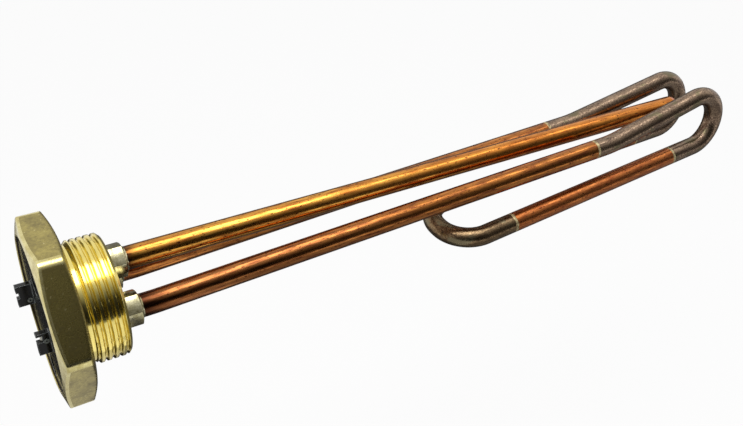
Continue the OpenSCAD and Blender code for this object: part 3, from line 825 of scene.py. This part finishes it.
@dataclass
class Element:
    """Copper sheath bent into two far loops and one near hairpin, in millimetres."""

    tube_r: float = TUBE_R
    wall: float = 0.9
    mouth_x: float = 6.0
    pitch_r: float = PITCH_R
    foot_x: float = 24.0
    spread_r: float = 60.0
    crank_r: float = 50.0
    loop_r: float = 12.0
    hairpin_r: float = 12.9
    slack: float = 0.15
    front_crank: Point = (225.0, -11.95, 8.2)
    rear_crank: Point = (222.0, 10.65, 9.8)
    front_loop: Pair = (275.5, 7.1)
    rear_loop: Pair = (276.5, 7.0)
    front_loop_y: float = -12.5
    rear_loop_y: float = 10.4
    rear_return_y: float = 9.4
    near_front: Point = (142.8, -17.6, -13.6)
    near_rear: Point = (142.8, 10.0, -11.2)
    front_skin_x: float = 215.0
    rear_skin_x: float = 208.0
    far_skin_x: float = 261.0
    near_skin_x: float = 169.5
    edge_w: float = 1.2
    segments: int = 56
    step: float = 3.0
    bend_deg: float = 3.0
    fewest_steps: int = 3

    def touch_z(self, start: Point, loop: Pair, side: int) -> float:
        """Height at which the line that touches a loop meets the loop's far end.

        Args:
            start: Corner that the line comes from.
            loop: Place along X and height of the loop's centre.
            side: 1 for the upper line and -1 for the lower.

        Returns:
            The height in millimetres.
        """
        reach = self.loop_r + self.slack
        dx, dz = loop[0] - start[0], loop[1] - start[2]
        slope = math.atan2(dz, dx) + side * math.asin(reach / math.hypot(dx, dz))
        return start[2] + (dx + reach) * math.tan(slope)

    def corners(self) -> list[tuple[Vector, float]]:
        """Corners of the centre line, from the front leg to the rear leg.

        Returns:
            Each corner in millimetres and the radius of its bend; the two ends have none.
        """
        reach = self.loop_r + self.slack
        fx, rx = self.front_loop[0] + reach, self.rear_loop[0] + reach
        front_top = self.touch_z(self.front_crank, self.front_loop, 1)
        front_low = self.touch_z(self.near_front, self.front_loop, -1)
        rear_low = self.touch_z(self.near_rear, self.rear_loop, -1)
        rear_top = self.touch_z(self.rear_crank, self.rear_loop, 1)
        spots: list[tuple[Point, float]] = [
            ((self.mouth_x, -self.pitch_r, 0), 0),
            ((self.foot_x, -self.pitch_r, 0), self.spread_r),
            (self.front_crank, self.crank_r),
            ((fx, self.front_loop_y, front_top), self.loop_r),
            ((fx, self.front_loop_y, front_low), self.loop_r),
            (self.near_front, self.hairpin_r),
            (self.near_rear, self.hairpin_r),
            ((rx, self.rear_return_y, rear_low), self.loop_r),
            ((rx, self.rear_loop_y, rear_top), self.loop_r),
            (self.rear_crank, self.crank_r),
            ((self.foot_x, self.pitch_r, 0), self.spread_r),
            ((self.mouth_x, self.pitch_r, 0), 0)]
        return [(Vector(p), r) for p, r in spots]

    def centre_line(self) -> list[tuple[Vector, int]]:
        """Points along the centre line, close enough for a smooth tube.

        Returns:
            Each point in millimetres and the number of the run that it lies on.
        """
        corners = self.corners()
        points: list[tuple[Vector, int]] = [(corners[0][0], 0)]
        for i in range(1, len(corners) - 1):
            here, radius = corners[i]
            into = (here - corners[i - 1][0]).normalized()
            out = (corners[i + 1][0] - here).normalized()
            angle = into.angle(out)
            cut = radius * math.tan(angle / 2)
            self.straight(points, here - into * cut, i - 1)
            inward = (out - into * into.dot(out)).normalized()
            middle = here - into * cut + inward * radius
            steps = max(self.fewest_steps, math.ceil(math.degrees(angle) / self.bend_deg))
            for s in range(1, steps + 1):
                a = angle * s / steps
                arm = into * math.sin(a) - inward * math.cos(a)
                points.append((middle + arm * radius, i))
        self.straight(points, corners[-1][0], len(corners) - 2)
        return points

    def straight(self, points: list[tuple[Vector, int]], end: Vector, run: int) -> None:
        """Adds a straight stretch, with a point at each edge of the oxide skin.

        Args:
            points: Points so far; the stretch goes on from the last.
            end: End of the stretch.
            run: Number of the run.
        """
        start = points[-1][0]
        span = end - start
        count = max(1, round(span.length / self.step))
        marks = [i / count for i in range(1, count + 1)]
        for x in self.edges(run):
            for side in (-0.5, 0.5):
                t = (x + side * self.edge_w - start.x) / span.x
                if 0 < t < 1:
                    marks.append(t)
        points += [(start + span * t, run) for t in sorted(marks)]

    def edges(self, run: int) -> list[float]:
        """Places along X where the oxide skin ends on a run, with a crust of flux."""
        both = [self.far_skin_x, self.near_skin_x]
        return {Run.FRONT_LEG: [self.front_skin_x], Run.FRONT_RETURN: both,
                Run.REAR_RETURN: both, Run.REAR_LEG: [self.rear_skin_x]}.get(run, [])

    def finish_at(self, p: Vector, run: int) -> SheathSkin:
        """Finish at a point of the centre line.

        Args:
            p: The point in millimetres.
            run: Number of the run that it lies on.

        Returns:
            The material index.
        """
        if any(abs(p.x - x) < self.edge_w / 2 for x in self.edges(run)):
            return SheathSkin.FLUX
        if Run.FRONT_RETURN <= run <= Run.REAR_RETURN and p.x < self.near_skin_x:
            return SheathSkin.BROWN_OXIDE
        if run in (Run.FRONT_RETURN, Run.REAR_RETURN) and p.x < self.far_skin_x:
            return SheathSkin.REDDENED
        if run <= Run.FRONT_LEG and p.x < self.front_skin_x:
            return SheathSkin.COPPER
        if run >= Run.REAR_LEG and p.x < self.rear_skin_x:
            return SheathSkin.COPPER
        return SheathSkin.OXIDE

    def build(self) -> bpy.types.Object:
        """Builds and dresses the sheath.

        Returns:
            The sheath's skin.
        """
        line = self.centre_line()
        points = [p for p, _ in line]
        outer: list[list[Vector]] = []
        inner: list[list[Vector]] = []
        spots = [self.mouth_x * MM]
        turns = circle(self.segments)
        side = Vector((0, 0, 1))
        for i, p in enumerate(points):
            ahead = points[min(i + 1, len(points) - 1)] - points[max(i - 1, 0)]
            way = ahead.normalized()
            side = (side - way * side.dot(way)).normalized()
            other = way.cross(side)
            arms = [side * math.cos(t) + other * math.sin(t) for t in turns]
            outer.append([(p + arm * self.tube_r) * MM for arm in arms])
            inner.append([(p + arm * (self.tube_r - self.wall)) * MM for arm in arms])
            if i:
                spots.append(spots[-1] + (p - points[i - 1]).length * MM)
        slots: list[int] = [
            self.finish_at((a + b) / 2, run) for (a, _), (b, run) in zip(line, line[1:])]
        slots = slots + slots[-1:] + slots[::-1] + slots[:1]
        grid = Grid(outer + inner[::-1], slots, spots + spots[::-1],
                    2 * math.pi * self.tube_r * MM, Ends.JOINED)
        finishes = {SheathSkin.COPPER: DRAWN_COPPER, SheathSkin.REDDENED: RED_COPPER,
                    SheathSkin.OXIDE: ANNEALED_COPPER, SheathSkin.FLUX: FLUX_EDGE,
                    SheathSkin.BROWN_OXIDE: BROWN_OXIDE}
        return place("sheath_skin", grid.mesh("sheath_skin"),
                     [finishes[s] for s in SheathSkin], "element_sheath")


class CadNodes:
    """Pieces that keep their CAD shape and only take a finish."""

    FINISHES: dict[str, Finish] = {
        "terminal_insulator": BLACK_PHENOLIC,
        "front_terminal_tab": TIN_PLATE, "rear_terminal_tab": TIN_PLATE,
        "front_terminal_rivet": BLACKENED_RIVET, "rear_terminal_rivet": BLACKENED_RIVET,
        "earth_washer": TIN_PLATE, "earth_screw": TIN_PLATE,
        "front_cold_pin": DRAWN_STEEL, "rear_cold_pin": DRAWN_STEEL,
        "heating_coil": OXIDISED_WIRE, "magnesia_filling": PACKED_MAGNESIA,
        "front_end_seal": CURED_SILICONE, "rear_end_seal": CURED_SILICONE,
        "front_pin_bead": FIRED_STEATITE, "rear_pin_bead": FIRED_STEATITE,
    }

    def dress(self) -> None:
        """Gives each piece its finish."""
        for name, finish in self.FINISHES.items():
            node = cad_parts[name]
            node.data.materials.clear()
            node.data.materials.append(finish.build())
            log.info("%s: %s", name, finish.name)


@dataclass(frozen=True)
class Card:
    """Flat card of the studio that only reflections see, in metres."""

    name: str
    centre: Point
    size: Pair
    tilt_deg: Point
    level: float
    top_level: float = 0.0  # Strength at the top of a graded card, none for an even one.
    graded_from: float = 0.0  # Height on the card at which the grading starts.

    def build(self) -> bpy.types.Object:
        """Hangs the card.

        Returns:
            The card.
        """
        mesh = bpy.data.meshes.new(self.name)
        w, h = self.size[0] / 2, self.size[1] / 2
        mesh.from_pydata([(-w, -h, 0), (w, -h, 0), (w, h, 0), (-w, h, 0)], [], [(0, 1, 2, 3)])
        paper = bare_material(self.name)
        tree = paper.node_tree
        strength: Any = self.level
        if self.top_level:
            spot = add_node(tree, "ShaderNodeTexCoord").outputs["Object"]
            height = add_node(tree, "ShaderNodeSeparateXYZ", {0: spot})
            strength = add_node(tree, "ShaderNodeMapRange", {
                "Value": height.outputs[1], "From Min": self.graded_from, "From Max": h,
                "To Min": self.level, "To Max": self.top_level}).outputs[0]
        glow = add_node(tree, "ShaderNodeEmission", {"Strength": strength})
        add_node(tree, "ShaderNodeOutputMaterial", {"Surface": glow.outputs[0]})
        mesh.materials.append(paper)
        card = bpy.data.objects.new(self.name, mesh)
        card.location = self.centre
        card.rotation_euler = [math.radians(a) for a in self.tilt_deg]
        card.visible_camera = card.visible_diffuse = card.visible_shadow = False
        bpy.context.scene.collection.objects.link(card)
        return card


@dataclass(frozen=True)
class Lamp:
    """Soft lamp that hangs over the object, in metres and watts."""

    name: str
    at: Point
    size: Pair
    watts: float

    def build(self) -> bpy.types.Object:
        """Hangs the lamp, aimed at the point of the plug's axis below it.

        Returns:
            The lamp.
        """
        light = bpy.data.lights.new(self.name, "AREA")
        light.shape = "RECTANGLE"
        light.size, light.size_y = self.size
        light.energy = self.watts
        lamp = bpy.data.objects.new(self.name, light)
        lamp.location = self.at
        aim = Vector((self.at[0], 0.0, 0.0)) - Vector(self.at)
        lamp.rotation_euler = aim.to_track_quat("-Z", "Y").to_euler()
        bpy.context.scene.collection.objects.link(lamp)
        return lamp


UPRIGHT: Point = (90, 0, 0)
LEVEL: Point = (0, 0, 0)


@dataclass
class Studio:
    """Floor, cards, lamps, background and camera, in metres.

    The front cards grade from dark to light upwards, so metal that faces the camera shows a
    bright band over a dark one. The floor cards are what the lower sides mirror, with narrow
    ones for the thread's crests and flanks, the collars and the black disc.
    """

    floor_z: float = -0.16
    floor_half: float = 6.0
    floor_colour: str = "#FBFBFA"
    floor_glow: float = 1.0
    floor_share: float = 0.95  # Share of the glow in what is seen; the rest keeps the shadow.
    backdrop: str = "#FEFEFE"
    fill: float = 0.2
    camera_at: Point = (-0.02975, -0.24295, 0.16553)
    right: Point = (0.8616, -0.5076, 0.0)
    ahead: Point = (0.4385, 0.7443, -0.5037)
    focal_px: float = 850.6
    width_px: int = 743
    sensor_mm: float = 36.0
    clip_start: float = 0.01
    lamps: tuple[Lamp, ...] = (
        Lamp("soft_box", (0.015, -0.09, 0.62), (0.69, 0.34), 2.76),
        Lamp("strip_light", (0.58, -0.09, 0.62), (0.44, 0.12), 0.36),
    )
    cards: tuple[Card, ...] = (
        Card("plug_front_card", (-0.515, -0.55, 0.4), (1.17, 1.04), UPRIGHT, 0.02, 0.78, -0.27),
        Card("thread_front_card", (0.185, -0.55, 0.4), (0.23, 1.04), UPRIGHT, 0.015, 0.8, -0.12),
        Card("tube_front_card", (0.8, -0.55, 0.4), (1.0, 1.04), UPRIGHT, 0.07, 0.7, -0.2),
        Card("back_card", (0.861, 0.6, 0.07), (1.518, 0.46), UPRIGHT, 0.18),
        Card("back_floor_card", (0.805, 0.32, -0.154), (1.55, 0.72), LEVEL, 0.1),
        Card("disc_floor_card", (-0.03, 0.28, -0.153), (0.11, 0.42), LEVEL, 0.02),
        Card("plug_floor_card", (-0.28, -0.1, -0.155), (0.64, 0.5), LEVEL, 0.7),
        Card("collar_floor_card", (0.0503, 0.01, -0.153), (0.0275, 0.28), LEVEL, 0.04),
        Card("thread_floor_card", (0.08, -0.1, -0.155), (0.032, 0.5), LEVEL, 1.2),
        Card("thread_side_card", (0.052, -0.24, -0.155), (0.024, 0.22), LEVEL, 1.0),
        Card("thread_crest_card", (0.026, -0.2, -0.1535), (0.021, 0.3), LEVEL, 1.25),
        Card("tube_floor_card", (0.448, -0.1, -0.155), (0.704, 0.5), LEVEL, 0.38),
    )

    def seen(self, tree: bpy.types.NodeTree) -> Socket:
        """Share of a ray that shows the background: camera, mirror and glass rays.

        Args:
            tree: Tree that takes the nodes.

        Returns:
            One for those rays and zero for the others.
        """
        path = add_node(tree, "ShaderNodeLightPath").outputs
        first = add_node(tree, "ShaderNodeMath", {
            0: path["Is Camera Ray"], 1: path["Is Glossy Ray"]}, operation="MAXIMUM")
        return add_node(tree, "ShaderNodeMath", {
            0: first.outputs[0], 1: path["Is Transmission Ray"]}, operation="MAXIMUM").outputs[0]

    def background(self) -> None:
        """White behind the object, and a soft even fill on it."""
        world = bpy.data.worlds.new("studio")
        bpy.context.scene.world = world
        world.use_nodes = True
        tree = world.node_tree
        tree.nodes.clear()
        fill = add_node(tree, "ShaderNodeBackground", {
            "Color": linear("#FFFFFF"), "Strength": self.fill})
        white = add_node(tree, "ShaderNodeBackground", {
            "Color": linear(self.backdrop), "Strength": 1.0})
        mixed = add_node(tree, "ShaderNodeMixShader", {
            0: self.seen(tree), 1: fill.outputs[0], 2: white.outputs[0]})
        add_node(tree, "ShaderNodeOutputWorld", {"Surface": mixed.outputs[0]})

    def floor(self) -> bpy.types.Object:
        """Lays a pale floor that keeps a faint shadow.

        Returns:
            The floor.
        """
        half, z = self.floor_half, self.floor_z
        mesh = bpy.data.meshes.new("floor")
        mesh.from_pydata([(-half, -half, z), (half, -half, z), (half, half, z), (-half, half, z)],
                         [], [(0, 1, 2, 3)])
        paper = bare_material("pale_studio_paper")
        tree = paper.node_tree
        matt = add_node(tree, "ShaderNodeBsdfDiffuse", {"Color": linear(self.floor_colour)})
        glow = add_node(tree, "ShaderNodeEmission", {"Strength": self.floor_glow})
        share = add_node(tree, "ShaderNodeMath", {0: self.seen(tree), 1: self.floor_share},
                         operation="MULTIPLY")
        mixed = add_node(tree, "ShaderNodeMixShader", {
            0: share.outputs[0], 1: matt.outputs[0], 2: glow.outputs[0]})
        add_node(tree, "ShaderNodeOutputMaterial", {"Surface": mixed.outputs[0]})
        mesh.materials.append(paper)
        floor = bpy.data.objects.new("floor", mesh)
        bpy.context.scene.collection.objects.link(floor)
        return floor

    def camera(self) -> bpy.types.Object:
        """Sets the camera where the photograph was taken from.

        Returns:
            The camera.
        """
        lens = bpy.data.cameras.new("camera")
        lens.sensor_fit = "HORIZONTAL"
        lens.sensor_width = self.sensor_mm
        lens.lens = self.focal_px / self.width_px * self.sensor_mm
        lens.clip_start = self.clip_start
        ahead = Vector(self.ahead).normalized()
        right = Vector(self.right).normalized()
        up = right.cross(ahead)
        axes = Matrix((right, up, -ahead)).transposed().to_4x4()
        camera = bpy.data.objects.new("camera", lens)
        camera.matrix_world = Matrix.Translation(Vector(self.camera_at)) @ axes
        bpy.context.scene.collection.objects.link(camera)
        bpy.context.scene.camera = camera
        return camera

    def build(self) -> None:
        """Sets up the whole studio."""
        bpy.context.scene.view_settings.view_transform = "Standard"
        self.background()
        self.floor()
        self.camera()
        for piece in (*self.lamps, *self.cards):
            piece.build()


def main() -> None:
    """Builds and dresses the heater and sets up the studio."""
    logging.basicConfig(level=logging.INFO, format="%(name)s %(message)s")
    Plug().build()
    Collars().build()
    Pocket().build()
    Element().build()
    CadNodes().dress()
    Studio().build()


if __name__ == "__main__":
    main()
